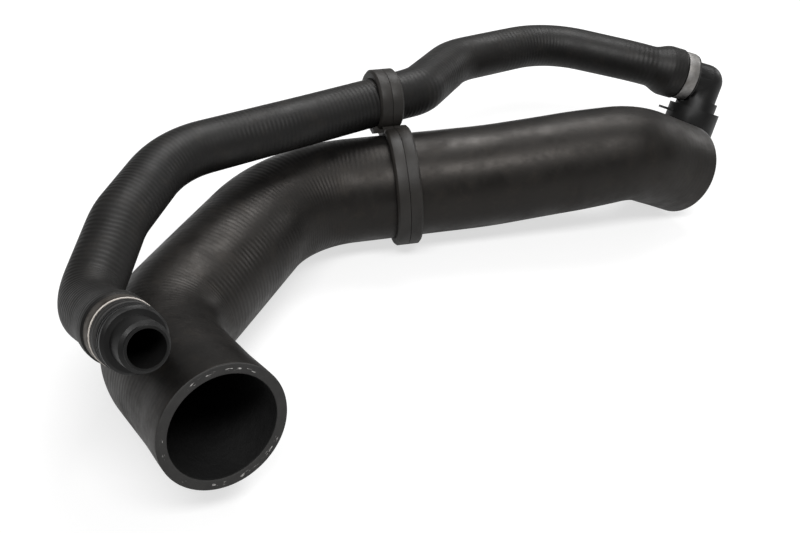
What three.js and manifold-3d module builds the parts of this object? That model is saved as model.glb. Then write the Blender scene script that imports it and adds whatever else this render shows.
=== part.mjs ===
// A pair of moulded coolant hoses for an engine's radiator, held side by side by a plastic holder.
// The large hose has two plain cut ends. The small hose ends in a plug-in spigot on its left
// and in a quick-connect elbow on its right, each held on by a steel crimp ring.
// Millimetres, +Z up. The pair lies on the plane z = 0 and is centred over the origin.

import {
  Box3, BoxGeometry, BufferAttribute, BufferGeometry, Curve, CurvePath, ExtrudeGeometry, Group,
  LatheGeometry, LineCurve3, Matrix4, Mesh, MeshStandardMaterial, Shape, SphereGeometry,
  Vector2, Vector3,
} from 'three';
import { mergeVertices } from 'three/addons/utils/BufferGeometryUtils.js';
import Module from 'manifold-3d';

const wasm = await Module();
wasm.setup();

// Clearance kept between two pieces that seat on each other.
const FIT = 0.3;

// Large hose: its centreline as corners with the bend radius at each, then its outer radius at
// distances from the left mouth. It grows a little narrower towards the tail, its right end.
const LARGE_ROUTE = [
  [-128, -174, 46, 0],
  [-154.5, -93.5, 31.6, 54],
  [-67.5, 15, 33, 70],
  [50, 5, 34.8, 200],
  [136.9, -7.3, 45.4, 34],
  [176.2, -0.3, 22.9, 0],
];
const LARGE_WALL = 5;
const LARGE_MOUTH_RADIUS = 30.7;
const LARGE_RADII = [
  [25, 29.9],
  [60, 30],
  [110, 30.8],
  [250, 30.2],
  [310, 29.9],
  [380, 29.3],
  [435, 27.4],
];
const LARGE_TAIL_RADIUS = 27.2;
const LARGE_TAIL_LENGTH = 16.5;
const LARGE_STEP = 12;
const LARGE_SIDES = 26;

// Small hose: its centreline between its two connectors, then its outer radius at distances
// from its left end. Each end is wider, over the connector's barbed tube.
const SMALL_ROUTE = [
  [-159.5, -60, 83.5, 50],
  [-130, -14.5, 88.5, 60],
  [-54, 14.5, 82, 90],
  [20, 45, 75, 30],
  [54, 84, 71, 36],
  [122, 102, 67.5, 60],
];
const SMALL_RADII = [
  [36, 14.4],
  [300, 13.8],
  [328, 14.3],
  [358, 14.1],
  [390, 13.4],
];
const SMALL_LAST_RADIUS = 12.8;
const SMALL_BORE_RADIUS = 9.6;
const SMALL_END_RADIUS = 16.1;
const SMALL_END_BORE_RADIUS = 12.2;
const SMALL_LIP_RADIUS = 15;
const SPIGOT_LIP_LENGTH = 6;
const ELBOW_LIP_LENGTH = 1;
const SMALL_SQUEEZED_RADIUS = 14.5;
const SMALL_END_LENGTH = 18;
const SMALL_END_TAPER = 12;
const SMALL_END_BORE_LENGTH = 23;
const SMALL_END_BORE_TAPER = 8;
const SMALL_STEP = 9;
const SMALL_SIDES = 18;

// Crimp rings: stamped steel bands that squeeze the small hose onto its connectors.
const CRIMP_WIDTH = 7.2;
const CRIMP_THICKNESS = 0.6;

// Barbed tube that each connector pushes into the small hose.
const BARB_LENGTH = 21;
const BARB_STEP = 0.7;
const BARB_COUNT = 3;
const BARB_LEAD = 1.5;

// Spigot: the plug at the left end of the small hose, from its tip back to the hose.
const SPIGOT_TIP = [-153.5, -177.2, 99.6];
const SPIGOT_OUTWARD = [0.31, -0.88, 0.37];
const SPIGOT_BORE_RADIUS = 8.2;
const SPIGOT_NOSE_RADIUS = 9.3;
const SPIGOT_NOSE_LENGTH = 1.6;
const SPIGOT_PLUG_RADIUS = 10.9;
const SPIGOT_PLUG_LENGTH = 13.2;
const SPIGOT_FACE_DEPTH = 1.2;
const SPIGOT_SHOULDER_LENGTH = 3;
const SPIGOT_BODY_RADIUS = 14.6;
const SPIGOT_GROOVE_RADIUS = 13.5;
const SPIGOT_GROOVE_WIDTH = 1;
const SPIGOT_RIB_WIDTH = 1.1;
const SPIGOT_RIB_COUNT = 2;
const SPIGOT_CORNER_DISTANCE = 84;
const SPIGOT_CORNER_RADIUS = 26;
const SPIGOT_KEY = [3.6, 3, 3];
const SPIGOT_KEY_TURN = -2.3;

// Elbow: the quick-connect socket at the right end of the small hose.
const ELBOW_CORNER = [220.9, 62, 45];
const ELBOW_INLET_RUN = [0.93, -0.18, -0.32];
const ELBOW_OUTLET_RUN = [-0.40, -0.30, -0.87];
const ELBOW_TUBE_RADIUS = 11.4;
const ELBOW_BORE_RADIUS = 9.2;
const ELBOW_HOSE_GAP = 11;
const ELBOW_CORNER_DISTANCE = 48;
const ELBOW_BEND_RADIUS = 70;
const COLLAR_START = 12;
const COLLAR_RADIUS = 13.2;
const HOUSING_START = 18.2;
const HOUSING_RADIUS = 16.6;
const SLOT_START = 35.4;
const SLOT_WIDTH = 2.6;
const SLOT_RADIUS = 15.4;
const MOUTH_RING_RADIUS = 16.6;
const SOCKET_LENGTH = 43;
const SOCKET_RADIUS = 13.2;
const SOCKET_CHAMFER = 1;
const GLAND_RADIUS = 14.3;
const GLAND_LENGTH = 6.7;
const SEAT_RADIUS = 11.2;
const SEAT_LENGTH = 5;
const SEAL_SECTION_RADIUS = 1.4;
const SPACER_LENGTH = 3;
const SPACER_RADIAL = 2.3;
const GUIDE_PLATE = [6, 1.5, 9];
const GUIDE_PLATE_LEVEL = 23.6;

// Wire retainer: a sprung U of round wire in the slot of the elbow's housing.
const WIRE_RADIUS = 0.9;
const WIRE_OFFSET = 12.2;
const WIRE_LEG_END = 9.5;
const WIRE_BOW_REACH = 17.6;
const WIRE_SLOT_CLEARANCE = 0.35;

// Holder: a ring round each hose and a neck between them, split along a seam into two halves.
const HOLDER_LARGE_AT = -0.3;
const HOLDER_SMALL_AT = -4.5;
const HOLDER_YAW = 0.22;
const HOLDER_HALF_WIDTH = 7.2;
const HOLDER_SEAM = 0.3;
const HOLDER_LARGE_BORE = 30.5;
const HOLDER_LARGE_WALL = 4.3;
const HOLDER_SMALL_RADIUS = 17.9;
const HOLDER_CHAMFER = 1.2;
const NECK_HALF_WIDTH = 10;
const NECK_WAIST = 7.5;
const NECK_FLARE = 15;
const TAB_REACH = 4.5;
const TAB_HEIGHT = 4.5;
const TAB_WIDTH = 9;
const TAB_SHIFT = 3;
const SHEET_REACH = 42;
const SHEET_COLUMNS = 18;
const SHEET_ROWS = 64;
const TURN_BELOW_FOOT = 4;
const TURN_BELOW_RING = 6;

const AROUND = 36;

const finishes = {
  large_rubber: { color: 0x2b2a29, roughness: 0.55, metalness: 0 },
  small_rubber: { color: 0x282727, roughness: 0.5, metalness: 0 },
  black_plastic: { color: 0x232323, roughness: 0.5, metalness: 0 },
  holder_plastic: { color: 0x333130, roughness: 0.6, metalness: 0 },
  steel: { color: 0x9b9792, roughness: 0.35, metalness: 1 },
  seal_rubber: { color: 0x1b1b1b, roughness: 0.6, metalness: 0 },
};

// A circular bend that rounds the corner between two straight runs.
class Bend extends Curve {
  constructor(before, corner, after, radius) {
    super();
    const back = before.clone().sub(corner).normalize();
    const ahead = after.clone().sub(corner).normalize();
    const half = back.angleTo(ahead) / 2;
    const middle = back.clone().add(ahead).normalize();
    this.radius = radius;
    this.angle = Math.PI - 2 * half;
    this.centre = corner.clone().addScaledVector(middle, radius / Math.sin(half));
    this.start = corner.clone().addScaledVector(back, radius / Math.tan(half));
    this.across = this.start.clone().sub(this.centre).normalize();
    this.along = back.clone().negate();
  }

  getPoint(t, target = new Vector3()) {
    const turn = t * this.angle;
    return target.copy(this.centre)
      .addScaledVector(this.across, this.radius * Math.cos(turn))
      .addScaledVector(this.along, this.radius * Math.sin(turn));
  }
}

// A path of straight runs with a bend at each inner corner, from rows of x, y, z, bend radius.
function pathThrough(rows) {
  const corners = rows.map(([x, y, z]) => new Vector3(x, y, z));
  const path = new CurvePath();
  let from = corners[0];
  for (let i = 1; i < rows.length - 1; i += 1) {
    const bend = new Bend(corners[i - 1], corners[i], corners[i + 1], rows[i][3]);
    path.add(new LineCurve3(from, bend.getPoint(0)));
    path.add(bend);
    from = bend.getPoint(1);
  }
  path.add(new LineCurve3(from, corners[corners.length - 1]));
  return path;
}

// Bends a straight form, made along +Y from y = 0, onto a path of the same length.
function bentOnto(geometry, path) {
  const length = path.getLength();
  const position = geometry.getAttribute('position');
  const heights = new Set();
  for (let i = 0; i < position.count; i += 1) heights.add(position.getY(i));
  const frames = new Map();
  const side = new Vector3();
  for (const height of [...heights].sort((a, b) => a - b)) {
    const share = Math.min(1, Math.max(0, height / length));
    const ahead = path.getTangent(share);
    if (frames.size === 0) side.crossVectors(ahead, new Vector3(0, 0, 1));
    side.addScaledVector(ahead, -side.dot(ahead)).normalize();
    const across = side.clone();
    frames.set(height, { at: path.getPoint(share), across, over: across.clone().cross(ahead) });
  }
  const moved = new Vector3();
  for (let i = 0; i < position.count; i += 1) {
    const frame = frames.get(position.getY(i));
    moved.copy(frame.at)
      .addScaledVector(frame.across, position.getX(i))
      .addScaledVector(frame.over, position.getZ(i));
    position.setXYZ(i, moved.x, moved.y, moved.z);
  }
  return geometry;
}

// The radius at a distance, eased between the rows of distance, radius.
function eased(rows, distance) {
  let i = 1;
  while (i < rows.length - 1 && rows[i][0] < distance) i += 1;
  const [fromAt, fromRadius] = rows[i - 1];
  const [toAt, toRadius] = rows[i];
  const share = Math.min(1, Math.max(0, (distance - fromAt) / (toAt - fromAt)));
  return fromRadius + (toRadius - fromRadius) * share * share * (3 - 2 * share);
}

// Distances along a hose: every step, and each row's own distance.
function stations(length, step, rows) {
  const marks = rows.map(([at]) => at);
  const count = Math.round(length / step);
  for (let i = 0; i <= count; i += 1) {
    const at = (length * i) / count;
    if (marks.every((mark) => Math.abs(mark - at) > step / 3)) marks.push(at);
  }
  return marks.sort((a, b) => a - b);
}

// A solid of revolution about Y, from rows of radius, y that close on themselves.
function turned(rows, sides = AROUND) {
  const outline = rows.map(([radius, y]) => new Vector2(radius, y));
  outline.push(outline[0].clone());
  return new LatheGeometry(outline, sides);
}

// A hose bent onto its path, from its outer and inner rows of distance, radius.
function hose(path, outer, inner, step, sides) {
  const length = path.getLength();
  const outside = stations(length, step, outer).map((at) => [eased(outer, at), at]);
  const inside = stations(length, step, inner).map((at) => [eased(inner, at), at]);
  return bentOnto(turned([...outside, ...inside.reverse()], sides), path);
}

function merged(geometry) {
  geometry.deleteAttribute('normal');
  geometry.deleteAttribute('uv');
  return mergeVertices(geometry, 1e-4);
}

function toSolid(geometry) {
  const clean = merged(geometry);
  return new wasm.Manifold(new wasm.Mesh({
    numProp: 3,
    vertProperties: new Float32Array(clean.getAttribute('position').array),
    triVerts: new Uint32Array(clean.getIndex().array),
  }));
}

function toGeometry(solid) {
  const mesh = solid.getMesh();
  const geometry = new BufferGeometry();
  geometry.setAttribute('position', new BufferAttribute(new Float32Array(mesh.vertProperties), 3));
  geometry.setIndex(new BufferAttribute(new Uint32Array(mesh.triVerts), 1));
  return geometry;
}

// Stands a form made along +Y at a point, with +Y turned to a direction and +X near another.
function stood(geometry, at, upward, sideward) {
  const up = upward.clone().normalize();
  const side = sideward.clone().addScaledVector(up, -sideward.dot(up)).normalize();
  const turn = new Matrix4().makeBasis(side, up, side.clone().cross(up));
  return geometry.applyMatrix4(turn.setPosition(at));
}

function box(width, height, depth, x, y, z) {
  return new BoxGeometry(width, height, depth).translate(x, y, z);
}

const assembly = new Group();

function add(name, geometry, finish) {
  const mesh = new Mesh(merged(geometry), new MeshStandardMaterial(finishes[finish]));
  mesh.name = name;
  assembly.add(mesh);
}

// Places shared by the hoses, the connectors and the holder.
const spigotTip = new Vector3(...SPIGOT_TIP);
const spigotInward = new Vector3(...SPIGOT_OUTWARD).normalize().negate();
const elbowCorner = new Vector3(...ELBOW_CORNER);
const elbowInlet = new Vector3(...ELBOW_INLET_RUN).normalize();
const elbowOutlet = new Vector3(...ELBOW_OUTLET_RUN).normalize();
const spigotRibPitch = SPIGOT_GROOVE_WIDTH + SPIGOT_RIB_WIDTH;
const spigotBodyLength = SPIGOT_SHOULDER_LENGTH + SPIGOT_RIB_COUNT * spigotRibPitch;
const spigotHoseGap = SPIGOT_PLUG_LENGTH + spigotBodyLength + FIT;
const barbRadius = SMALL_END_BORE_RADIUS - FIT;
const worldUp = new Vector3(0, 0, 1);

function rowAt(origin, direction, distance, bendRadius) {
  return [...origin.clone().addScaledVector(direction, distance).toArray(), bendRadius];
}

const largePath = pathThrough(LARGE_ROUTE);
const smallPath = pathThrough([
  rowAt(spigotTip, spigotInward, spigotHoseGap, 0),
  rowAt(spigotTip, spigotInward, SPIGOT_CORNER_DISTANCE, SPIGOT_CORNER_RADIUS),
  ...SMALL_ROUTE,
  rowAt(elbowCorner, elbowInlet, -ELBOW_CORNER_DISTANCE, ELBOW_BEND_RADIUS),
  rowAt(elbowCorner, elbowInlet, -ELBOW_HOSE_GAP, 0),
]);

// Rows of distance, radius for the outside of the large hose, grown by a margin.
function largeOutside(margin = 0) {
  const length = largePath.getLength();
  const rows = [
    [0, LARGE_MOUTH_RADIUS],
    ...LARGE_RADII,
    [length - LARGE_TAIL_LENGTH, LARGE_TAIL_RADIUS],
    [length, LARGE_TAIL_RADIUS],
  ];
  return rows.map(([at, radius]) => [at, radius + margin]);
}

// Rows of distance, radius for the outside of the small hose: at each end a lip, the band
// squeezed by the crimp ring, the wide end over the barb, and the taper to the body.
function smallOutside() {
  const length = smallPath.getLength();
  const bandEnd = FIT + CRIMP_WIDTH + 2 * FIT;
  const end = (lip) => [
    [0, SMALL_LIP_RADIUS],
    [lip, SMALL_LIP_RADIUS],
    [lip + FIT, SMALL_SQUEEZED_RADIUS],
    [lip + bandEnd, SMALL_SQUEEZED_RADIUS],
    [lip + bandEnd + 1, SMALL_END_RADIUS],
    [SMALL_END_LENGTH, SMALL_END_RADIUS],
  ];
  const last = end(ELBOW_LIP_LENGTH).map(([at, radius]) => [length - at, radius]);
  last.push([length - SMALL_END_LENGTH - SMALL_END_TAPER, SMALL_LAST_RADIUS]);
  return [...end(SPIGOT_LIP_LENGTH), ...SMALL_RADII, ...last.reverse()];
}

function smallInside() {
  const length = smallPath.getLength();
  const end = [
    [0, SMALL_END_BORE_RADIUS],
    [SMALL_END_BORE_LENGTH, SMALL_END_BORE_RADIUS],
    [SMALL_END_BORE_LENGTH + SMALL_END_BORE_TAPER, SMALL_BORE_RADIUS],
  ];
  return [...end, ...end.map(([at, radius]) => [length - at, radius]).reverse()];
}

function addHoses() {
  const largeInside = largeOutside(-LARGE_WALL);
  add('large_hose', hose(largePath, largeOutside(), largeInside, LARGE_STEP, LARGE_SIDES), 'large_rubber');
  add('small_hose', hose(smallPath, smallOutside(), smallInside(), SMALL_STEP, SMALL_SIDES), 'small_rubber');
}

// A crimp ring over the squeezed band of the small hose, from the hose's cut end inwards.
function addCrimpRing(name, hoseEnd, inward, lip) {
  const inner = SMALL_SQUEEZED_RADIUS + FIT;
  const outer = inner + CRIMP_THICKNESS;
  const near = lip + 2 * FIT;
  const far = near + CRIMP_WIDTH;
  const ring = turned([[outer, near], [outer, far], [inner, far], [inner, near]]);
  add(name, stood(ring, hoseEnd, inward, worldUp), 'steel');
}

// Rows of radius, y for the barbed tube that starts at the hose's cut end.
function barbRows(start) {
  const rows = [];
  const pitch = (BARB_LENGTH - BARB_LEAD) / BARB_COUNT;
  for (let i = 0; i < BARB_COUNT; i += 1) {
    const foot = start + i * pitch;
    rows.push([barbRadius - BARB_STEP, foot + (i === 0 ? 0 : FIT)]);
    rows.push([barbRadius, foot + pitch / 2]);
    rows.push([barbRadius - BARB_STEP, foot + pitch]);
  }
  rows.push([barbRadius - BARB_LEAD, start + BARB_LENGTH]);
  return rows;
}

// The spigot, along +Y from its tip at y = 0 into the hose.
function spigotForm() {
  const rows = [
    [SPIGOT_BORE_RADIUS, 0],
    [SPIGOT_NOSE_RADIUS, 0],
    [SPIGOT_NOSE_RADIUS, SPIGOT_NOSE_LENGTH],
    [SPIGOT_PLUG_RADIUS, SPIGOT_NOSE_LENGTH + 1],
    [SPIGOT_PLUG_RADIUS, SPIGOT_PLUG_LENGTH],
    [SPIGOT_BODY_RADIUS - SPIGOT_FACE_DEPTH, SPIGOT_PLUG_LENGTH],
    [SPIGOT_BODY_RADIUS, SPIGOT_PLUG_LENGTH + SPIGOT_FACE_DEPTH],
  ];
  for (let i = 0; i < SPIGOT_RIB_COUNT; i += 1) {
    const groove = SPIGOT_PLUG_LENGTH + SPIGOT_SHOULDER_LENGTH + i * spigotRibPitch;
    rows.push([SPIGOT_BODY_RADIUS, groove]);
    rows.push([SPIGOT_GROOVE_RADIUS, groove]);
    rows.push([SPIGOT_GROOVE_RADIUS, groove + SPIGOT_GROOVE_WIDTH]);
    rows.push([SPIGOT_BODY_RADIUS, groove + SPIGOT_GROOVE_WIDTH]);
  }
  rows.push([SPIGOT_BODY_RADIUS, spigotHoseGap - FIT]);
  rows.push(...barbRows(spigotHoseGap - FIT));
  rows.push([SPIGOT_BORE_RADIUS, spigotHoseGap - FIT + BARB_LENGTH]);
  return turned(rows);
}

function addSpigot() {
  const [width, rise, length] = SPIGOT_KEY;
  const keyMiddle = SPIGOT_PLUG_RADIUS + rise / 2 - FIT;
  const key = box(width, length, rise + FIT, 0, SPIGOT_PLUG_LENGTH - length / 2 + FIT, keyMiddle);
  const spigot = toSolid(spigotForm()).add(toSolid(key.rotateY(SPIGOT_KEY_TURN)));
  const placed = stood(toGeometry(spigot), spigotTip, spigotInward, worldUp);
  add('spigot_connector', placed, 'black_plastic');
  const hoseEnd = spigotTip.clone().addScaledVector(spigotInward, spigotHoseGap);
  addCrimpRing('spigot_crimp_ring', hoseEnd, spigotInward, SPIGOT_LIP_LENGTH);
}

// The inlet of the elbow, along +Y from its corner back into the hose.
function elbowInletForm() {
  return turned([
    [0, 0],
    [ELBOW_TUBE_RADIUS, 0],
    [ELBOW_TUBE_RADIUS, ELBOW_HOSE_GAP - FIT],
    ...barbRows(ELBOW_HOSE_GAP - FIT),
    [0, ELBOW_HOSE_GAP - FIT + BARB_LENGTH],
  ]);
}

// The outlet of the elbow, along +Y from its corner to the mouth of its socket.
function elbowOutletForm() {
  const slotEnd = SLOT_START + SLOT_WIDTH;
  return turned([
    [0, 0],
    [ELBOW_TUBE_RADIUS, 0],
    [ELBOW_TUBE_RADIUS, COLLAR_START],
    [COLLAR_RADIUS, COLLAR_START],
    [COLLAR_RADIUS, HOUSING_START],
    [HOUSING_RADIUS, HOUSING_START],
    [HOUSING_RADIUS, SLOT_START],
    [SLOT_RADIUS, SLOT_START],
    [SLOT_RADIUS, slotEnd],
    [MOUTH_RING_RADIUS, slotEnd],
    [MOUTH_RING_RADIUS, SOCKET_LENGTH],
    [0, SOCKET_LENGTH],
  ]);
}

const glandStart = SLOT_START - FIT - GLAND_LENGTH;

// The space inside the outlet: passage, seat, gland for the seal, and the socket's mouth.
function socketSpace() {
  const over = SOCKET_LENGTH + 1;
  return turned([
    [0, 0],
    [ELBOW_BORE_RADIUS, 0],
    [ELBOW_BORE_RADIUS, glandStart - SEAT_LENGTH],
    [SEAT_RADIUS, glandStart - SEAT_LENGTH],
    [SEAT_RADIUS, glandStart],
    [GLAND_RADIUS, glandStart],
    [GLAND_RADIUS, glandStart + GLAND_LENGTH],
    [SOCKET_RADIUS, glandStart + GLAND_LENGTH],
    [SOCKET_RADIUS, SOCKET_LENGTH - SOCKET_CHAMFER],
    [SOCKET_RADIUS + SOCKET_CHAMFER, SOCKET_LENGTH],
    [SOCKET_RADIUS + SOCKET_CHAMFER, over],
    [0, over],
  ]);
}

// The U of the wire retainer, in the outlet's own axes, thickened by a margin.
function retainerForm(margin = 0) {
  const level = SLOT_START + SLOT_WIDTH / 2;
  const bow = WIRE_OFFSET - 0.01;
  const path = pathThrough([
    [-WIRE_LEG_END, level, WIRE_OFFSET, 0],
    [WIRE_BOW_REACH, level, WIRE_OFFSET, bow],
    [WIRE_BOW_REACH, level, -WIRE_OFFSET, bow],
    [-WIRE_LEG_END, level, -WIRE_OFFSET, 0],
  ]);
  const length = path.getLength();
  const radius = WIRE_RADIUS + margin;
  const rows = [[0, 0]];
  for (const at of stations(length, 3, [[0], [length]])) rows.push([radius, at]);
  rows.push([0, length]);
  return bentOnto(turned(rows, 8), path);
}

// The straight way along which one leg of the retainer is pulled out of the housing.
function wireSlot(side) {
  const radius = WIRE_RADIUS + WIRE_SLOT_CLEARANCE;
  const from = -WIRE_LEG_END - WIRE_SLOT_CLEARANCE;
  const slot = turned([[0, from], [radius, from], [radius, WIRE_BOW_REACH], [0, WIRE_BOW_REACH]], 12);
  slot.rotateZ(-Math.PI / 2);
  return slot.translate(0, SLOT_START + SLOT_WIDTH / 2, side * WIRE_OFFSET);
}

// The room for the end of the small hose beside the elbow's outlet.
function hoseEndSpace() {
  const radius = SMALL_END_RADIUS + FIT;
  const start = ELBOW_HOSE_GAP - FIT;
  const end = start + BARB_LENGTH;
  return turned([[0, start], [radius, start], [radius, end], [0, end]]);
}

function addElbow() {
  const inward = elbowInlet.clone().negate();
  const inlet = toSolid(stood(elbowInletForm(), elbowCorner, inward, worldUp));
  const knee = new SphereGeometry(ELBOW_TUBE_RADIUS, AROUND, AROUND / 2);
  const sphere = toSolid(stood(knee, elbowCorner, elbowOutlet, elbowInlet));
  const [reach, thick, wide] = GUIDE_PLATE;
  const plateMiddle = -(HOUSING_RADIUS - 1 + reach / 2);
  const plate = toSolid(box(reach + 2, thick, wide, plateMiddle, GUIDE_PLATE_LEVEL, 0));
  const outlet = toSolid(elbowOutletForm()).add(plate);
  let socket = outlet.subtract(toSolid(socketSpace()));
  socket = socket.subtract(toSolid(retainerForm(WIRE_SLOT_CLEARANCE)));
  for (const side of [-1, 1]) socket = socket.subtract(toSolid(wireSlot(side)));
  const outletBody = toSolid(stood(toGeometry(socket), elbowCorner, elbowOutlet, elbowInlet))
    .subtract(toSolid(stood(hoseEndSpace(), elbowCorner, inward, worldUp)));
  const reachIn = ELBOW_HOSE_GAP + BARB_LENGTH + 1;
  const passageRows = [[0, 0], [ELBOW_BORE_RADIUS, 0], [ELBOW_BORE_RADIUS, reachIn], [0, reachIn]];
  const passage = toSolid(stood(turned(passageRows), elbowCorner, inward, worldUp));
  const turnSpace = new SphereGeometry(ELBOW_BORE_RADIUS, AROUND, AROUND / 2);
  const kneeSpace = toSolid(stood(turnSpace, elbowCorner, elbowOutlet, elbowInlet));
  const straightSpace = toSolid(stood(
    turned([[0, 0], [ELBOW_BORE_RADIUS, 0], [ELBOW_BORE_RADIUS, COLLAR_START], [0, COLLAR_START]]),
    elbowCorner, elbowOutlet, elbowInlet,
  ));
  const elbow = outletBody.add(inlet).add(sphere)
    .subtract(passage).subtract(kneeSpace).subtract(straightSpace);
  add('elbow_connector', toGeometry(elbow), 'black_plastic');
  const hoseEnd = elbowCorner.clone().addScaledVector(elbowInlet, -ELBOW_HOSE_GAP);
  addCrimpRing('elbow_crimp_ring', hoseEnd, inward, ELBOW_LIP_LENGTH);
}

// The seal, the spacer that keeps it in its gland, and the wire retainer below them.
function addSocketInserts() {
  const sealMiddle = glandStart + FIT + SEAL_SECTION_RADIUS;
  const sealRadius = GLAND_RADIUS - FIT - SEAL_SECTION_RADIUS;
  const section = [];
  for (let i = 0; i < 12; i += 1) {
    const turn = (i / 12) * 2 * Math.PI;
    section.push([
      sealRadius + SEAL_SECTION_RADIUS * Math.cos(turn),
      sealMiddle + SEAL_SECTION_RADIUS * Math.sin(turn),
    ]);
  }
  add('elbow_seal_ring', stood(turned(section), elbowCorner, elbowOutlet, elbowInlet), 'seal_rubber');
  const spacerStart = sealMiddle + SEAL_SECTION_RADIUS + FIT;
  const outer = GLAND_RADIUS - FIT;
  const inner = outer - SPACER_RADIAL;
  const spacer = turned([
    [outer, spacerStart],
    [outer, spacerStart + SPACER_LENGTH],
    [inner, spacerStart + SPACER_LENGTH],
    [inner, spacerStart],
  ]);
  add('elbow_spacer_ring', stood(spacer, elbowCorner, elbowOutlet, elbowInlet), 'black_plastic');
  add('wire_retainer', stood(retainerForm(), elbowCorner, elbowOutlet, elbowInlet), 'steel');
}

// The point of a path where it crosses a plane of constant x, and its direction there.
function crossing(path, x) {
  const share = { low: 0, high: 1 };
  while (share.high - share.low > 1e-6) {
    const middle = (share.low + share.high) / 2;
    if (path.getPoint(middle).x < x) share.low = middle;
    else share.high = middle;
  }
  return [path.getPoint(share.low), path.getTangent(share.low)];
}

// The neck's own axes: side across the hoses, up from ring to ring, along the large hose.
const [largeCentre, along] = crossing(largePath, HOLDER_LARGE_AT);
const [smallCentre] = crossing(smallPath, HOLDER_SMALL_AT);
const up = smallCentre.clone().sub(largeCentre);
up.addScaledVector(along, -up.dot(along)).normalize();
const side = up.clone().cross(along);
const swungAlong = along.clone().applyAxisAngle(up, HOLDER_YAW);
const swungSide = side.clone().applyAxisAngle(up, HOLDER_YAW);
const ringGap = up.dot(smallCentre.clone().sub(largeCentre));
const neckFoot = HOLDER_LARGE_BORE - 2.5;
const neckTop = ringGap - SMALL_RADII[0][1] - 1;
const turnRows = [[neckFoot - TURN_BELOW_FOOT, 0], [ringGap - TURN_BELOW_RING, 1]];

// Puts a form drawn in the neck's axes in place. On the way along the neck it eases from the
// large ring's place to the small ring's, which stands further left and turned a little.
function placedOnNeck(geometry) {
  const position = geometry.getAttribute('position');
  for (let i = 0; i < position.count; i += 1) {
    const [x, y, z] = [position.getX(i), position.getY(i), position.getZ(i)];
    const straight = largeCentre.clone()
      .addScaledVector(side, x).addScaledVector(up, y).addScaledVector(along, z);
    const swung = smallCentre.clone()
      .addScaledVector(swungSide, x).addScaledVector(up, y - ringGap).addScaledVector(swungAlong, z);
    straight.lerp(swung, eased(turnRows, y));
    position.setXYZ(i, straight.x, straight.y, straight.z);
  }
  return geometry;
}

// A disc round a hose, chamfered on both faces.
function holderDisc(radius, centre, axis) {
  const disc = turned([
    [0, -HOLDER_HALF_WIDTH],
    [radius - HOLDER_CHAMFER, -HOLDER_HALF_WIDTH],
    [radius, HOLDER_CHAMFER - HOLDER_HALF_WIDTH],
    [radius, HOLDER_HALF_WIDTH - HOLDER_CHAMFER],
    [radius - HOLDER_CHAMFER, HOLDER_HALF_WIDTH],
    [0, HOLDER_HALF_WIDTH],
  ], 2 * AROUND);
  return stood(disc, centre, axis, worldUp);
}

// The neck between the rings: flared where it meets each ring and narrow at its waist.
function holderNeck() {
  const waist = (neckFoot + neckTop) / 2 + 1;
  const flank = new Shape();
  flank.moveTo(-NECK_FLARE, neckFoot);
  flank.quadraticCurveTo(-NECK_WAIST, waist - 2, -NECK_HALF_WIDTH, neckTop);
  flank.lineTo(NECK_HALF_WIDTH, neckTop);
  flank.quadraticCurveTo(NECK_WAIST, waist - 2, NECK_FLARE, neckFoot);
  flank.closePath();
  const depth = 2 * HOLDER_HALF_WIDTH - HOLDER_CHAMFER;
  const neck = new ExtrudeGeometry(flank, { depth, bevelEnabled: false, curveSegments: 6 });
  return placedOnNeck(neck.translate(0, 0, -depth / 2));
}

// A tab on the left face, in the gap between the two hoses.
function holderTab() {
  const level = HOLDER_LARGE_BORE + 1 + TAB_HEIGHT / 2;
  const length = TAB_REACH + HOLDER_HALF_WIDTH / 2;
  const middle = -(HOLDER_HALF_WIDTH + length) / 2;
  return placedOnNeck(box(TAB_WIDTH, TAB_HEIGHT, length, -TAB_SHIFT, level, middle));
}

// The thin sheet of empty space between the two halves.
function seamSheet() {
  const height = ringGap + 2 * SHEET_REACH;
  const sheet = new BoxGeometry(2 * SHEET_REACH, height, HOLDER_SEAM, SHEET_COLUMNS, SHEET_ROWS, 1);
  return placedOnNeck(sheet.translate(0, ringGap / 2, 0));
}

// The hoses' own forms grown by the clearance cut the rings, so each ring follows its hose.
function addHolder() {
  const whole = toSolid(holderDisc(HOLDER_LARGE_BORE + HOLDER_LARGE_WALL, largeCentre, along))
    .add(toSolid(holderDisc(HOLDER_SMALL_RADIUS, smallCentre, swungAlong)))
    .add(toSolid(holderNeck()))
    .add(toSolid(holderTab()))
    .subtract(toSolid(solidRun(largePath, largeOutside(FIT), 3 * LARGE_SIDES)))
    .subtract(toSolid(solidRun(smallPath, smallGrown(), 3 * SMALL_SIDES)));
  const halves = whole.subtract(toSolid(seamSheet())).decompose();
  halves.sort((a, b) => a.boundingBox().min[0] - b.boundingBox().min[0]);
  const [left, right] = halves;
  add('holder_left_half', toGeometry(left), 'holder_plastic');
  add('holder_right_half', toGeometry(right), 'holder_plastic');
  if (halves.length !== 2) throw new Error(`The holder came apart into ${halves.length} bodies`);
}

function smallGrown() {
  return smallOutside().map(([at, radius]) => [at, radius + FIT]);
}

// A solid rod along a whole path, from rows of distance, radius.
function solidRun(path, outside, sides) {
  const length = path.getLength();
  const rows = [[0, 0]];
  for (const at of stations(length, SMALL_STEP, outside)) rows.push([eased(outside, at), at]);
  rows.push([0, length]);
  return bentOnto(turned(rows, sides), path);
}

addHoses();
addSpigot();
addElbow();
addSocketInserts();
addHolder();

// Moves the assembly so that its lowest point is at z = 0 and its box is centred on the origin.
const extent = new Box3().setFromObject(assembly);
const middle = extent.getCenter(new Vector3());
for (const mesh of assembly.children) mesh.position.set(-middle.x, -middle.y, -extent.min.z);

export default assembly;
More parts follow.
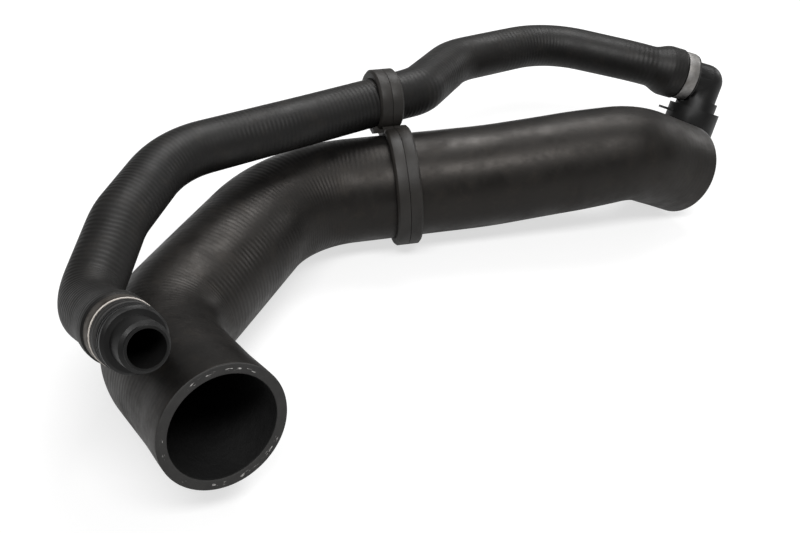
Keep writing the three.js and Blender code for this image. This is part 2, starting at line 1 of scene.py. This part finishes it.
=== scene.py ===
"""Looks of a pair of moulded coolant hoses joined by a plastic holder.

Both hoses are rebuilt finely along the routes of the CAD model, with wrap marks and cut ends.
All other pieces are copies of their CAD nodes, with smooth round faces and small bevels.
Named values are in millimetres and degrees, as in the CAD source, unless they say metres.
"""

import math

import bmesh
import bpy
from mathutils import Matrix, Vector


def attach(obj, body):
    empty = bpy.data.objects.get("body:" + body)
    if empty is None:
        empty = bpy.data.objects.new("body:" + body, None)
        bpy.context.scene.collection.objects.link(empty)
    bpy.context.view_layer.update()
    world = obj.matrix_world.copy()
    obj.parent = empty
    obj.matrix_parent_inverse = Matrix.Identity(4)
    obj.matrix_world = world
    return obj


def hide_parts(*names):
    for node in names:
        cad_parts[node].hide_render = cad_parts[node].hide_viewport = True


# One millimetre in metres.
MM = 0.001

# Where the routes' own origin lies in the row frame.
PLACE = Vector((-20.721, 36.988, 0.858))

# Camera, in the routes' own frame. What is closer than its clip distance, in metres, is cut off.
CAMERA_AT = Vector((-142.7, -520.8, 388.0))
CAMERA_PITCH = 37.0
CAMERA_YAW = 15.0
CAMERA_LENS = 50.0
CAMERA_SENSOR = 36.0
CAMERA_CLIP = 0.01

# Large hose: corners with the bend radius at each, then its outer radius at distances along it.
LARGE_ROUTE = [
    (-128, -174, 46, 0),
    (-154.5, -93.5, 31.6, 54),
    (-67.5, 15, 33, 70),
    (50, 5, 34.8, 200),
    (136.9, -7.3, 45.4, 34),
    (176.2, -0.3, 22.9, 0),
]
LARGE_WALL = 5.0
LARGE_MOUTH_RADIUS = 30.7
LARGE_RADII = [
    (25, 29.9),
    (60, 30),
    (110, 30.8),
    (250, 30.2),
    (310, 29.9),
    (380, 29.3),
    (435, 27.4),
]
LARGE_TAIL_RADIUS = 27.2
LARGE_TAIL_LENGTH = 16.5

# Small hose between its two connectors, then its outer radius at distances along it.
SMALL_ROUTE = [
    (-159.5, -60, 83.5, 50),
    (-130, -14.5, 88.5, 60),
    (-54, 14.5, 82, 90),
    (20, 45, 75, 30),
    (54, 84, 71, 36),
    (122, 102, 67.5, 60),
]
SMALL_RADII = [(36, 14.4), (300, 13.8), (328, 14.3), (358, 14.1), (390, 13.4)]
SMALL_LAST_RADIUS = 12.8
SMALL_BORE_RADIUS = 9.6

# Ends of the small hose: a lip, a place squeezed by the crimp ring, and a wider sleeve.
SMALL_END_RADIUS = 16.1
SMALL_END_BORE_RADIUS = 12.2
SMALL_LIP_RADIUS = 15.0
SMALL_SQUEEZED_RADIUS = 14.5
SMALL_END_LENGTH = 18.0
SMALL_END_TAPER = 12.0
SMALL_END_BORE_LENGTH = 23.0
SMALL_END_BORE_TAPER = 8.0
SPIGOT_LIP_LENGTH = 6.0
ELBOW_LIP_LENGTH = 1.0
CRIMP_WIDTH = 7.2
CRIMP_STEP = 1
FIT = 0.3

# Spigot and elbow, which the ends of the small hose are pushed on.
SPIGOT_TIP = Vector((-153.5, -177.2, 99.6))
SPIGOT_INWARD = Vector((-0.31, 0.88, -0.37)).normalized()
SPIGOT_HOSE_GAP = 20.7
SPIGOT_CORNER_DISTANCE = 84.0
SPIGOT_CORNER_RADIUS = 26.0
ELBOW_CORNER = Vector((220.9, 62, 45))
ELBOW_INLET_RUN = Vector((0.93, -0.18, -0.32)).normalized()
ELBOW_HOSE_GAP = 11.0
ELBOW_CORNER_DISTANCE = 48.0
ELBOW_BEND_RADIUS = 70.0

# Fineness of the rebuilt hoses, and the rounding of their cut edges.
HOSE_STEP = 1.6
LARGE_SIDES = 112
SMALL_SIDES = 72
EDGE_ROUND = 0.5
EDGE_CORNER_SHARE = 0.3
CUT_FACE_STEPS = 6

# Material slots of a hose.
SKIN = 0
CUT = 1
BORE = 2

# Copies of CAD nodes. Points within the merge distance, in metres, become one, faces that
# meet flatter than the flat angle become one, and edges above the sharp angle stay sharp.
MERGE_DISTANCE = 2e-6
FLAT_ANGLE = 0.6
SHARP_ANGLE = 32
ROUND_SHARP_ANGLE = 50
ROUND_NODES = ("wire_retainer", "elbow_seal_ring")
BEVEL_SEGMENTS = 2

# Tints of the sheen: brownish on the large hose, plain on the small one.
WARM_SHEEN = (1.0, 0.93, 0.87, 1.0)
PLAIN_SHEEN = (1.0, 0.99, 0.98, 1.0)

# Wrap marks along a hose: where they begin to show behind the left end, where they are at full
# depth, the length over which they grow faint again, and how far they wander, in marks.
MARKS_START = 20
MARKS_FULL = 70
MARKS_FADE = 60.0
MARKS_WANDER = 0.9

# Heights of the fine grain and of the dents in the rubber, as shares of the marks' depth.
GRAIN_SHARE = 0.10
DENTS_SHARE = 1.2

# Ends of reinforcement thread in a cut face: how many fit around it, their thickness, and how
# far from the middle of the wall they are whole and gone.
THREADS_AROUND = 64.0
THREAD_THICKNESS = 0.7
THREADS_WHOLE = 0.5
THREADS_GONE = 0.9

# Edge of the ring beside the spigot: a painted highlight on its front edge gives way to painted
# shade, a dark brown band, which starts and is whole at these depths.
PAINTED_SHADE_START = 0.2
PAINTED_SHADE_WHOLE = 0.45

# Floor, in metres: half its width, its drop below the object, and the distances from the
# origin between which its glow rises. Its grey and its glow are shares of white.
FLOOR_REACH = 6.0
FLOOR_DROP = 0.0002
GLOW_START = 0.5
GLOW_END = 2.0
FLOOR_GREY = 0.42
NEAR_GLOW = 0.66
FAR_GLOW = 0.9
GLOSSY_GLOW_SHARE = 0.4

# Area lights: name, place, aim and size in metres, and power in watts.
LIGHTS = [
    ("front", (-0.1, -0.72, 1.32), (0, 0, 0), (1.4, 0.36), 16),
    ("top", (0.5, 0.72, 1.36), (0, 0, 0), (0.9, 0.6), 14),
    ("side", (1.4, 0.5, 0.45), (-0.1, 0, 0.05), (0.5, 0.5), 2.5),
]

# Strength of the world as a light, and as the camera sees it.
WORLD_LIGHT = 0.24
WORLD_SEEN = 1.0

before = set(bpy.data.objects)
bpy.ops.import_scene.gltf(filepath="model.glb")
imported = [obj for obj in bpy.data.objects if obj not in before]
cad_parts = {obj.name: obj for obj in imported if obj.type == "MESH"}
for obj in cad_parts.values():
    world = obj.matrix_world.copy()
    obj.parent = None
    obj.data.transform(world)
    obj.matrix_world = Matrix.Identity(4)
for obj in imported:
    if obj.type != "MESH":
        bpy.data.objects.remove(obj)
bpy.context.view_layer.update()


def to_row(point):
    """A point of the routes' frame in millimetres, as a point of the row frame in metres."""
    return (Vector(point) + PLACE) * MM


def route(rows):
    """Straight runs and circular bends through rows of x, y, z, bend radius."""
    corners = [Vector(row[:3]) for row in rows]
    runs = []
    start = corners[0]
    for before, corner, after, row in zip(corners, corners[1:], corners[2:], rows[1:]):
        radius = row[3]
        back = (before - corner).normalized()
        ahead = (after - corner).normalized()
        half = back.angle(ahead) / 2
        centre = corner + (back + ahead).normalized() * (radius / math.sin(half))
        first = corner + back * (radius / math.tan(half))
        last = corner + ahead * (radius / math.tan(half))
        length = (math.pi - 2 * half) * radius
        runs.append(("run", start, first, (first - start).length))
        runs.append(("bend", centre, first - centre, -back, radius, length))
        start = last
    runs.append(("run", start, corners[-1], (corners[-1] - start).length))
    return runs


def route_length(runs):
    return sum(run[-1] for run in runs)


def point_on(runs, distance):
    """The point and the direction of a route at a distance along it."""
    for run in runs:
        if distance <= run[-1] or run is runs[-1]:
            break
        distance -= run[-1]
    if run[0] == "run":
        start, end = run[1:3]
        ahead = (end - start).normalized()
        return start + ahead * distance, ahead
    centre, out, along, radius = run[1:5]
    turn = distance / radius
    across = out.normalized()
    point = centre + (across * math.cos(turn) + along * math.sin(turn)) * radius
    return point, along * math.cos(turn) - across * math.sin(turn)


def on_axis(origin, direction, distance, bend):
    """A route row at a distance from a connector's point, with its bend radius."""
    return tuple(origin + direction * distance) + (bend,)


LARGE_RUNS = route(LARGE_ROUTE)
SMALL_RUNS = route([
    on_axis(SPIGOT_TIP, SPIGOT_INWARD, SPIGOT_HOSE_GAP, 0),
    on_axis(SPIGOT_TIP, SPIGOT_INWARD, SPIGOT_CORNER_DISTANCE, SPIGOT_CORNER_RADIUS),
    *SMALL_ROUTE,
    on_axis(ELBOW_CORNER, ELBOW_INLET_RUN, -ELBOW_CORNER_DISTANCE, ELBOW_BEND_RADIUS),
    on_axis(ELBOW_CORNER, ELBOW_INLET_RUN, -ELBOW_HOSE_GAP, 0),
])


def eased(rows, distance):
    """The radius at a distance, eased between rows of distance, radius."""
    if distance <= rows[0][0]:
        return rows[0][1]
    for (at, radius), (next_at, next_radius) in zip(rows, rows[1:]):
        if distance <= next_at:
            share = (distance - at) / (next_at - at)
            return radius + (next_radius - radius) * share * share * (3 - 2 * share)
    return rows[-1][1]


def large_rows(margin=0.0):
    """Rows of distance, radius for the large hose, with a margin added to each radius."""
    length = route_length(LARGE_RUNS)
    rows = [
        (0, LARGE_MOUTH_RADIUS),
        *LARGE_RADII,
        (length - LARGE_TAIL_LENGTH, LARGE_TAIL_RADIUS),
        (length, LARGE_TAIL_RADIUS),
    ]
    return [(at, radius + margin) for at, radius in rows]


def from_end(rows, length):
    """Rows of distance, radius turned round, to start from the other end."""
    return [(length - at, radius) for at, radius in reversed(rows)]


def small_end(lip):
    """Rows for an end of the small hose, with the length of its lip before the crimp ring."""
    band_end = FIT + CRIMP_WIDTH + 2 * FIT
    return [
        (0, SMALL_LIP_RADIUS),
        (lip, SMALL_LIP_RADIUS),
        (lip + FIT, SMALL_SQUEEZED_RADIUS),
        (lip + band_end, SMALL_SQUEEZED_RADIUS),
        (lip + band_end + CRIMP_STEP, SMALL_END_RADIUS),
        (SMALL_END_LENGTH, SMALL_END_RADIUS),
    ]


def small_outside():
    taper_end = (SMALL_END_LENGTH + SMALL_END_TAPER, SMALL_LAST_RADIUS)
    last = small_end(ELBOW_LIP_LENGTH) + [taper_end]
    return small_end(SPIGOT_LIP_LENGTH) + SMALL_RADII + from_end(last, route_length(SMALL_RUNS))


def small_inside():
    end = [
        (0, SMALL_END_BORE_RADIUS),
        (SMALL_END_BORE_LENGTH, SMALL_END_BORE_RADIUS),
        (SMALL_END_BORE_LENGTH + SMALL_END_BORE_TAPER, SMALL_BORE_RADIUS),
    ]
    return end + from_end(end, route_length(SMALL_RUNS))


def stations(length, rows):
    """Distances along a hose: one for each row, and even steps where no row is near."""
    marks = [at for at, radius in rows]
    count = round(length / HOSE_STEP)
    for i in range(count + 1):
        at = length * i / count
        if all(abs(at - mark) > HOSE_STEP / 3 for mark in marks):
            marks.append(at)
    return sorted(marks)


def hose_side(length, rows):
    """The outside or the inside of a wall, drawn in a little at both of its cut edges."""
    side = [(at, eased(rows, at)) for at in stations(length, rows)]
    side[0] = (EDGE_ROUND, side[0][1])
    side[-1] = (length - EDGE_ROUND, side[-1][1])
    return side


def hose_section(runs, outside, inside):
    """One loop of (distance, radius, material) round the wall: out along the skin, back inside."""
    length = route_length(runs)
    skin = hose_side(length, outside)
    bore = hose_side(length, inside)
    loop = [(at, radius, SKIN) for at, radius in skin]
    loop += cut_face(length, skin[-1][1], bore[-1][1])
    loop += [(at, radius, BORE) for at, radius in reversed(bore)]
    loop += cut_face(0, bore[0][1], skin[0][1])
    return loop


def cut_face(at, from_radius, to_radius):
    """The rows of a cut face, with both of its edges rounded a little."""
    inset = EDGE_ROUND if to_radius > from_radius else -EDGE_ROUND
    inward = EDGE_ROUND * EDGE_CORNER_SHARE * (1 if at == 0 else -1)
    start = from_radius + inset
    end = to_radius - inset
    rows = [(at + inward, from_radius + inset * EDGE_CORNER_SHARE, CUT)]
    for i in range(CUT_FACE_STEPS + 1):
        rows.append((at, start + (end - start) * i / CUT_FACE_STEPS, CUT))
    rows.append((at + inward, to_radius - inset * EDGE_CORNER_SHARE, CUT))
    return rows


def hose_frames(runs, distances):
    """At each distance, the point on the route and two directions across it, without twist."""
    frames = {}
    side = None
    for at in sorted(distances):
        point, ahead = point_on(runs, at)
        if side is None:
            side = ahead.cross(Vector((0, 0, 1)))
        side = (side - ahead * side.dot(ahead)).normalized()
        frames[at] = (point, side, side.cross(ahead))
    return frames


def hose_ring(build, centre_frame, radius, sides):
    """The points of one ring round the route."""
    point, across, over = centre_frame
    ring = []
    for i in range(sides):
        turn = 2 * math.pi * i / sides
        spot = point + (across * math.cos(turn) + over * math.sin(turn)) * radius
        ring.append(build.verts.new(to_row(spot)))
    return ring


def hose_band(build, run_map, ring, next_ring, row, next_row):
    """The faces between two rings, with turn and distance as UV, or turn and radius in a cut."""
    sides = len(ring)
    is_cut = CUT in (row[2], next_row[2])
    measure = 1 if is_cut else 0
    for i in range(sides):
        j = (i + 1) % sides
        face = build.faces.new((ring[i], ring[j], next_ring[j], next_ring[i]))
        face.smooth = True
        face.material_index = CUT if is_cut else row[2]
        turns = (i / sides, (i + 1) / sides, (i + 1) / sides, i / sides)
        heights = (row[measure], row[measure], next_row[measure], next_row[measure])
        for corner, u, v in zip(face.loops, turns, heights):
            corner[run_map].uv = (u, v * MM)


def add_object(name, data):
    """A new object in the scene."""
    item = bpy.data.objects.new(name, data)
    bpy.context.scene.collection.objects.link(item)
    return item


def hose_mesh(name, runs, outside, inside, sides, materials):
    """A hose as one closed mesh, with a UV layer for its materials."""
    loop = hose_section(runs, outside, inside)
    frames = hose_frames(runs, {row[0] for row in loop})
    mesh = bpy.data.meshes.new(name)
    build = bmesh.new()
    rings = [hose_ring(build, frames[row[0]], row[1], sides) for row in loop]
    run_map = build.loops.layers.uv.new("run")
    for k, row in enumerate(loop):
        following = (k + 1) % len(loop)
        hose_band(build, run_map, rings[k], rings[following], row, loop[following])
    bmesh.ops.recalc_face_normals(build, faces=build.faces)
    build.to_mesh(mesh)
    build.free()
    for material in materials:
        mesh.materials.append(material)
    return add_object(name, mesh)


def bevel_edges(build, over_angle, bevel):
    """Rounds the edges that are sharper than an angle."""
    sharp = [
        edge
        for edge in build.edges
        if len(edge.link_faces) == 2 and edge.calc_face_angle(0) > math.radians(over_angle)
    ]
    bmesh.ops.bevel(
        build, geom=sharp, offset=bevel * MM, offset_type="OFFSET", segments=BEVEL_SEGMENTS,
        profile=0.5, affect="EDGES", clamp_overlap=True,
    )


def finer_copy(node, name, material, bevel, smooth_under):
    """A CAD node's form as a new piece, with its sharp edges rounded and its round faces smooth."""
    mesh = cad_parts[node].data.copy()
    mesh.name = name
    mesh.materials.clear()
    mesh.materials.append(material)
    build = bmesh.new()
    build.from_mesh(mesh)
    bmesh.ops.remove_doubles(build, verts=build.verts, dist=MERGE_DISTANCE)
    bmesh.ops.dissolve_limit(
        build, angle_limit=math.radians(FLAT_ANGLE), verts=build.verts, edges=build.edges
    )
    if bevel:
        bevel_edges(build, smooth_under, bevel)
    for face in build.faces:
        face.smooth = True
        face.material_index = 0
    build.to_mesh(mesh)
    build.free()
    mesh.set_sharp_from_angle(angle=math.radians(smooth_under))
    return add_object(name, mesh)


class Nodes:
    """A small helper that makes and links the nodes of one material."""

    def __init__(self, name):
        self.material = bpy.data.materials.new(name)
        self.material.use_nodes = True
        self.tree = self.material.node_tree
        self.shader = self.tree.nodes["Principled BSDF"]

    def add(self, kind, settings=None, **inputs):
        node = self.tree.nodes.new(kind)
        for key, value in (settings or {}).items():
            setattr(node, key, value)
        for key, value in inputs.items():
            self.feed(node, key.replace("_", " "), value)
        return node

    def feed(self, node, key, value):
        """Links a socket to an input, or sets the input to a plain value."""
        socket = node.inputs[int(key)] if key.isdigit() else node.inputs[key]
        if isinstance(value, bpy.types.NodeSocket):
            self.tree.links.new(value, socket)
        else:
            socket.default_value = value

    def place(self):
        """Where the surface lies on its object, in metres."""
        return self.add("ShaderNodeTexCoord").outputs["Object"]

    def run(self):
        """The UV of a hose: X is the turn round it, Y the distance, or the radius in a cut."""
        run = self.add("ShaderNodeUVMap", {"uv_map": "run"}).outputs["UV"]
        return self.add("ShaderNodeSeparateXYZ", Vector=run).outputs

    def math(self, operation, first, second=0.0):
        node = self.tree.nodes.new("ShaderNodeMath")
        node.operation = operation
        self.feed(node, "0", first)
        self.feed(node, "1", second)
        return node.outputs[0]

    def noise(self, vector, scale, detail=3.0, roughness=0.5):
        node = self.add("ShaderNodeTexNoise", Scale=scale, Detail=detail, Roughness=roughness)
        self.tree.links.new(vector, node.inputs["Vector"])
        return node.outputs["Fac"]

    def spread(self, value, low, high, to_low, to_high):
        """A value between low and high as one between to_low and to_high, held at the ends."""
        node = self.tree.nodes.new("ShaderNodeMapRange")
        self.feed(node, "Value", value)
        self.feed(node, "From Min", low)
        self.feed(node, "From Max", high)
        self.feed(node, "To Min", to_low)
        self.feed(node, "To Max", to_high)
        return node.outputs["Result"]

    def blend(self, share, first, second):
        """Two colours mixed by a share. A colour mix has them in inputs 6 and 7."""
        node = self.tree.nodes.new("ShaderNodeMix")
        node.data_type = "RGBA"
        self.feed(node, "0", share)
        self.feed(node, "6", first)
        self.feed(node, "7", second)
        return node.outputs[2]

    def bump(self, height, distance):
        node = self.add("ShaderNodeBump", Strength=1.0, Distance=distance)
        self.tree.links.new(height, node.inputs["Height"])
        return node.outputs["Normal"]

    def set(self, **inputs):
        """Feeds the material's shader, and gives the finished material."""
        for key, value in inputs.items():
            self.feed(self.shader, key.replace("_", " "), value)
        return self.material


def grey(value, warmth=0.0):
    return (value * (1 + warmth), value, value * (1 - warmth), 1.0)


def wrap_marks(n, place, along, pitch, plain_share, marked_until):
    """Crosswise waves at a pitch along the hose, fainter in patches and outside the marked run."""
    wander = n.noise(place, 60.0, 2.0)
    phase = n.math("MULTIPLY", along, 1 / (pitch * MM))
    phase = n.math("ADD", phase, n.math("MULTIPLY", wander, MARKS_WANDER))
    wave = n.math("SINE", n.math("MULTIPLY", phase, 2 * math.pi))
    wave = n.spread(wave, -1.0, 1.0, 0.0, 1.0)
    patch = n.spread(n.noise(place, 22.0, 3.0), 0.35, 0.7, 0.15, 1.0)
    fade_start = (marked_until - MARKS_FADE) * MM
    faint = n.spread(along, fade_start, marked_until * MM, 1.0, plain_share)
    mouth = n.spread(along, MARKS_START * MM, MARKS_FULL * MM, plain_share, 1.0)
    patch = n.math("MULTIPLY", patch, n.math("MULTIPLY", faint, mouth))
    return n.math("MULTIPLY", wave, patch)


def rubber(name, pitch, depth, plain_depth, marked_until, base, rough_low, rough_high, tint):
    """Wrap-cured rubber with a fine grain, shallow dents, dust and an uneven gloss.

    Its wrap marks are plain to see up to marked_until, but faint beside the left end.
    """
    n = Nodes(name)
    place = n.place()
    along = n.run()["Y"]
    marks = wrap_marks(n, place, along, pitch, plain_depth / depth, marked_until)
    grain = n.math("MULTIPLY", n.noise(place, 700.0, 3.0), GRAIN_SHARE)
    dents = n.math("MULTIPLY", n.noise(place, 90.0, 3.0), DENTS_SHARE)
    height = n.math("ADD", n.math("ADD", marks, grain), dents)
    mottle = n.spread(n.noise(place, 14.0, 4.0), 0.3, 0.7, 0.0, 1.0)
    colour = n.blend(mottle, grey(base, 0.02), grey(base * 1.5, 0.1))
    dust = n.spread(n.noise(place, 95.0, 6.0, 0.7), 0.52, 0.75, 0.0, 0.4)
    colour = n.blend(dust, colour, grey(0.022, 0.22))
    rough = n.spread(n.noise(place, 46.0, 6.0, 0.7), 0.35, 0.65, rough_low, rough_high)
    return n.set(
        Base_Color=colour, Roughness=rough, Specular_IOR_Level=0.36, Specular_Tint=tint,
        Normal=n.bump(height, depth * MM),
    )


def cut_rubber(wall_middle):
    """The cut face: flat dark grey, with pale ends of reinforcement thread in the middle."""
    n = Nodes("cut_rubber")
    place = n.place()
    run = n.run()
    off = n.math("ABSOLUTE", n.math("SUBTRACT", run["Y"], wall_middle * MM))
    band = n.spread(off, THREADS_WHOLE * MM, THREADS_GONE * MM, 1.0, 0.0)
    streak = n.add(
        "ShaderNodeCombineXYZ",
        X=n.math("MULTIPLY", run["X"], THREADS_AROUND),
        Y=n.math("MULTIPLY", run["Y"], 1 / (THREAD_THICKNESS * MM)),
    )
    threads = n.spread(n.noise(streak.outputs["Vector"], 1.0, 1.0), 0.60, 0.66, 0.0, 1.0)
    clusters = n.spread(n.noise(place, 60.0, 2.0), 0.46, 0.54, 0.0, 1.0)
    mark = n.math("MULTIPLY", n.math("MULTIPLY", band, threads), clusters)
    ground = n.blend(n.noise(place, 180.0, 4.0), grey(0.018, 0.02), grey(0.04, 0.04))
    colour = n.blend(mark, ground, grey(0.55, 0.03))
    return n.set(
        Base_Color=colour, Roughness=0.75, Normal=n.bump(n.noise(place, 700.0, 3.0), 0.15 * MM)
    )


def bore_rubber():
    """The inside of a hose: nearly black, with soft wrinkles."""
    n = Nodes("bore_rubber")
    place = n.place()
    colour = n.blend(n.noise(place, 50.0, 3.0), grey(0.006), grey(0.016))
    wrinkles = n.noise(place, 130.0, 5.0, 0.65)
    return n.set(Base_Color=colour, Roughness=0.52, Normal=n.bump(wrinkles, 0.7 * MM))


def plastic(name, base, warmth, rough, grain, shine):
    """Moulded plastic: faint mottle, a fine grain and slightly uneven gloss."""
    n = Nodes(name)
    place = n.place()
    mottle = n.spread(n.noise(place, 70.0, 4.0), 0.3, 0.7, 0.0, 1.0)
    colour = n.blend(mottle, grey(base * 0.8, warmth), grey(base * 1.35, warmth))
    gloss = n.spread(n.noise(place, 120.0, 4.0, 0.6), 0.3, 0.7, rough - 0.07, rough + 0.08)
    return n.set(
        Base_Color=colour, Roughness=gloss, Specular_IOR_Level=shine,
        Normal=n.bump(n.noise(place, 1600.0, 2.0), grain * MM),
    )


def stains(n, place):
    return n.spread(n.noise(place, 160.0, 4.0, 0.6), 0.35, 0.75, 0.0, 1.0)


def steel(name, base, rough):
    """Plain steel with slight stains and an uneven gloss."""
    n = Nodes(name)
    place = n.place()
    colour = n.blend(stains(n, place), grey(base, 0.02), grey(base * 0.62, 0.06))
    gloss = n.spread(n.noise(place, 420.0, 3.0), 0.3, 0.7, rough - 0.08, rough + 0.12)
    return n.set(
        Base_Color=colour, Metallic=1.0, Roughness=gloss,
        Normal=n.bump(n.noise(place, 900.0, 2.0), 0.03 * MM),
    )


def painted_light_steel(name, front, inward):
    """A steel ring with a painted highlight on its front edge and painted shade behind it, dark
    brown with stains, from a point on its front face inwards.
    """
    n = Nodes(name)
    place = n.place()
    along = n.add("ShaderNodeVectorMath", {"operation": "DOT_PRODUCT"})
    n.tree.links.new(place, along.inputs[0])
    along.inputs[1].default_value = inward
    depth = n.math("SUBTRACT", along.outputs["Value"], front.dot(inward))
    # Share of painted shade: none on the painted highlight at the front edge, whole further in.
    painted_shade_share = n.spread(depth, PAINTED_SHADE_START * MM, PAINTED_SHADE_WHOLE * MM, 0.0, 1.0)
    stained_painted_shade = n.blend(stains(n, place), grey(0.16, 0.1), grey(0.05, 0.2))
    # Painted highlight: pale, barely metallic grey at the front edge. Painted shade: dark brown,
    # stained metal behind it.
    return n.set(
        Base_Color=n.blend(painted_shade_share, grey(0.72, 0.08), stained_painted_shade),
        Metallic=n.spread(painted_shade_share, 0.0, 1.0, 0.2, 1.0), Roughness=0.5,
    )


def place_piece(piece, node, body="hose_pair"):
    """Hangs a piece on the body it rides on, and hides the CAD node it stands for."""
    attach(piece, body)
    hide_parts(node)


def make_hoses():
    cut = cut_rubber(LARGE_MOUTH_RADIUS - LARGE_WALL / 2)
    bore = bore_rubber()
    large_skin = rubber(
        "large_rubber_skin", pitch=2.9, depth=0.15, plain_depth=0.012, marked_until=290.0,
        base=0.005, rough_low=0.33, rough_high=0.56, tint=WARM_SHEEN,
    )
    small_skin = rubber(
        "small_rubber_skin", pitch=2.6, depth=0.20, plain_depth=0.13, marked_until=330.0,
        base=0.005, rough_low=0.44, rough_high=0.60, tint=PLAIN_SHEEN,
    )
    large = hose_mesh(
        "large_hose_skin", LARGE_RUNS, large_rows(), large_rows(-LARGE_WALL), LARGE_SIDES,
        [large_skin, cut, bore],
    )
    place_piece(large, "large_hose")
    small = hose_mesh(
        "small_hose_skin", SMALL_RUNS, small_outside(), small_inside(), SMALL_SIDES,
        [small_skin, cut, bore],
    )
    place_piece(small, "small_hose")


def make_fittings():
    """All pieces but the hoses, in rows of CAD node, material, bevel, slot and body."""
    black = plastic(
        "black_plastic_moulded", base=0.006, warmth=0.02, rough=0.44, grain=0.03, shine=0.32
    )
    dull = plastic(
        "holder_plastic_moulded", base=0.017, warmth=0.12, rough=0.5, grain=0.05, shine=0.4
    )
    rings = steel("ring_steel_stamped", base=0.36, rough=0.52)
    # The ring beside the spigot gets a painted highlight on its front edge and painted shade behind
    # it.
    ring_front = SPIGOT_TIP + SPIGOT_INWARD * (SPIGOT_HOSE_GAP + SPIGOT_LIP_LENGTH + 2 * FIT)
    painted_light_ring = painted_light_steel("ring_steel_painted_light", to_row(ring_front), SPIGOT_INWARD)
    wire = steel("wire_steel_drawn", base=0.72, rough=0.26)
    seal = plastic("seal_rubber_matt", base=0.010, warmth=0.0, rough=0.6, grain=0.02, shine=0.5)
    rows = [
        ("spigot_connector", black, 0.25, "black_plastic", "hose_pair"),
        ("elbow_connector", black, 0.25, "black_plastic", "hose_pair"),
        ("holder_left_half", dull, 0.5, "holder_plastic", "hose_pair"),
        ("holder_right_half", dull, 0.5, "holder_plastic", "hose_pair"),
        ("spigot_crimp_ring", painted_light_ring, 0.15, "ring_steel", "hose_pair"),
        ("elbow_crimp_ring", rings, 0.15, "ring_steel", "hose_pair"),
        ("elbow_seal_ring", seal, 0, "seal_rubber", "hose_pair"),
        ("elbow_spacer_ring", black, 0.15, "black_plastic", "hose_pair"),
        ("wire_retainer", wire, 0, "wire_steel", "retainer"),
    ]
    for node, material, bevel, slot_name, body in rows:
        smooth_under = ROUND_SHARP_ANGLE if node in ROUND_NODES else SHARP_ANGLE
        piece = finer_copy(node, node + "_skin", material, bevel, smooth_under)
        place_piece(piece, node, body)


def floor_material():
    """A grey that takes the shadow, with a glow for the camera and a share of it for gloss."""
    n = Nodes("floor_white")
    path = n.add("ShaderNodeLightPath").outputs
    seen = n.math("MAXIMUM", path["Is Camera Ray"], path["Is Transmission Ray"])
    glossy = n.math("MULTIPLY", path["Is Glossy Ray"], GLOSSY_GLOW_SHARE)
    seen = n.math("MAXIMUM", seen, glossy)
    away = n.add("ShaderNodeVectorMath", {"operation": "LENGTH"})
    n.tree.links.new(n.place(), away.inputs[0])
    level = n.spread(away.outputs["Value"], GLOW_START, GLOW_END, NEAR_GLOW, FAR_GLOW)
    glow = n.add("ShaderNodeEmission", Strength=n.math("MULTIPLY", seen, level))
    matt = n.add("ShaderNodeBsdfDiffuse", Color=grey(FLOOR_GREY))
    both = n.add("ShaderNodeAddShader")
    n.tree.links.new(matt.outputs[0], both.inputs[0])
    n.tree.links.new(glow.outputs[0], both.inputs[1])
    n.tree.links.new(both.outputs[0], n.tree.nodes["Material Output"].inputs["Surface"])
    return n.material


def make_floor():
    sides = ((-1, -1), (1, -1), (1, 1), (-1, 1))
    corners = [(x * FLOOR_REACH, y * FLOOR_REACH, -FLOOR_DROP) for x, y in sides]
    mesh = bpy.data.meshes.new("floor")
    mesh.from_pydata(corners, [], [(0, 1, 2, 3)])
    mesh.materials.append(floor_material())
    add_object("floor", mesh)


def add_light(name, at, aim, size, power):
    data = bpy.data.lights.new(name, "AREA")
    data.shape = "RECTANGLE"
    data.size = size[0]
    data.size_y = size[1]
    data.energy = power
    light = add_object(name, data)
    light.location = at
    light.rotation_mode = "QUATERNION"
    light.rotation_quaternion = (Vector(aim) - Vector(at)).to_track_quat("-Z", "Y")


def make_world():
    """A soft light from all around, which the camera sees as white."""
    world = bpy.data.worlds.new("studio")
    world.use_nodes = True
    tree = world.node_tree
    path = tree.nodes.new("ShaderNodeLightPath")
    level = tree.nodes.new("ShaderNodeMapRange")
    tree.links.new(path.outputs["Is Camera Ray"], level.inputs["Value"])
    level.inputs["To Min"].default_value = WORLD_LIGHT
    level.inputs["To Max"].default_value = WORLD_SEEN
    back = tree.nodes["Background"]
    back.inputs["Color"].default_value = (1, 1, 1, 1)
    tree.links.new(level.outputs["Result"], back.inputs["Strength"])
    bpy.context.scene.world = world


def make_camera():
    data = bpy.data.cameras.new("camera")
    data.lens = CAMERA_LENS
    data.sensor_width = CAMERA_SENSOR
    data.clip_start = CAMERA_CLIP
    camera = add_object("camera", data)
    camera.location = to_row(CAMERA_AT)
    camera.rotation_euler = (math.radians(90 - CAMERA_PITCH), 0, math.radians(-CAMERA_YAW))
    bpy.context.scene.camera = camera


make_camera()
make_hoses()
make_fittings()
make_floor()
for light_row in LIGHTS:
    add_light(*light_row)
make_world()
bpy.context.scene.view_settings.view_transform = "Standard"
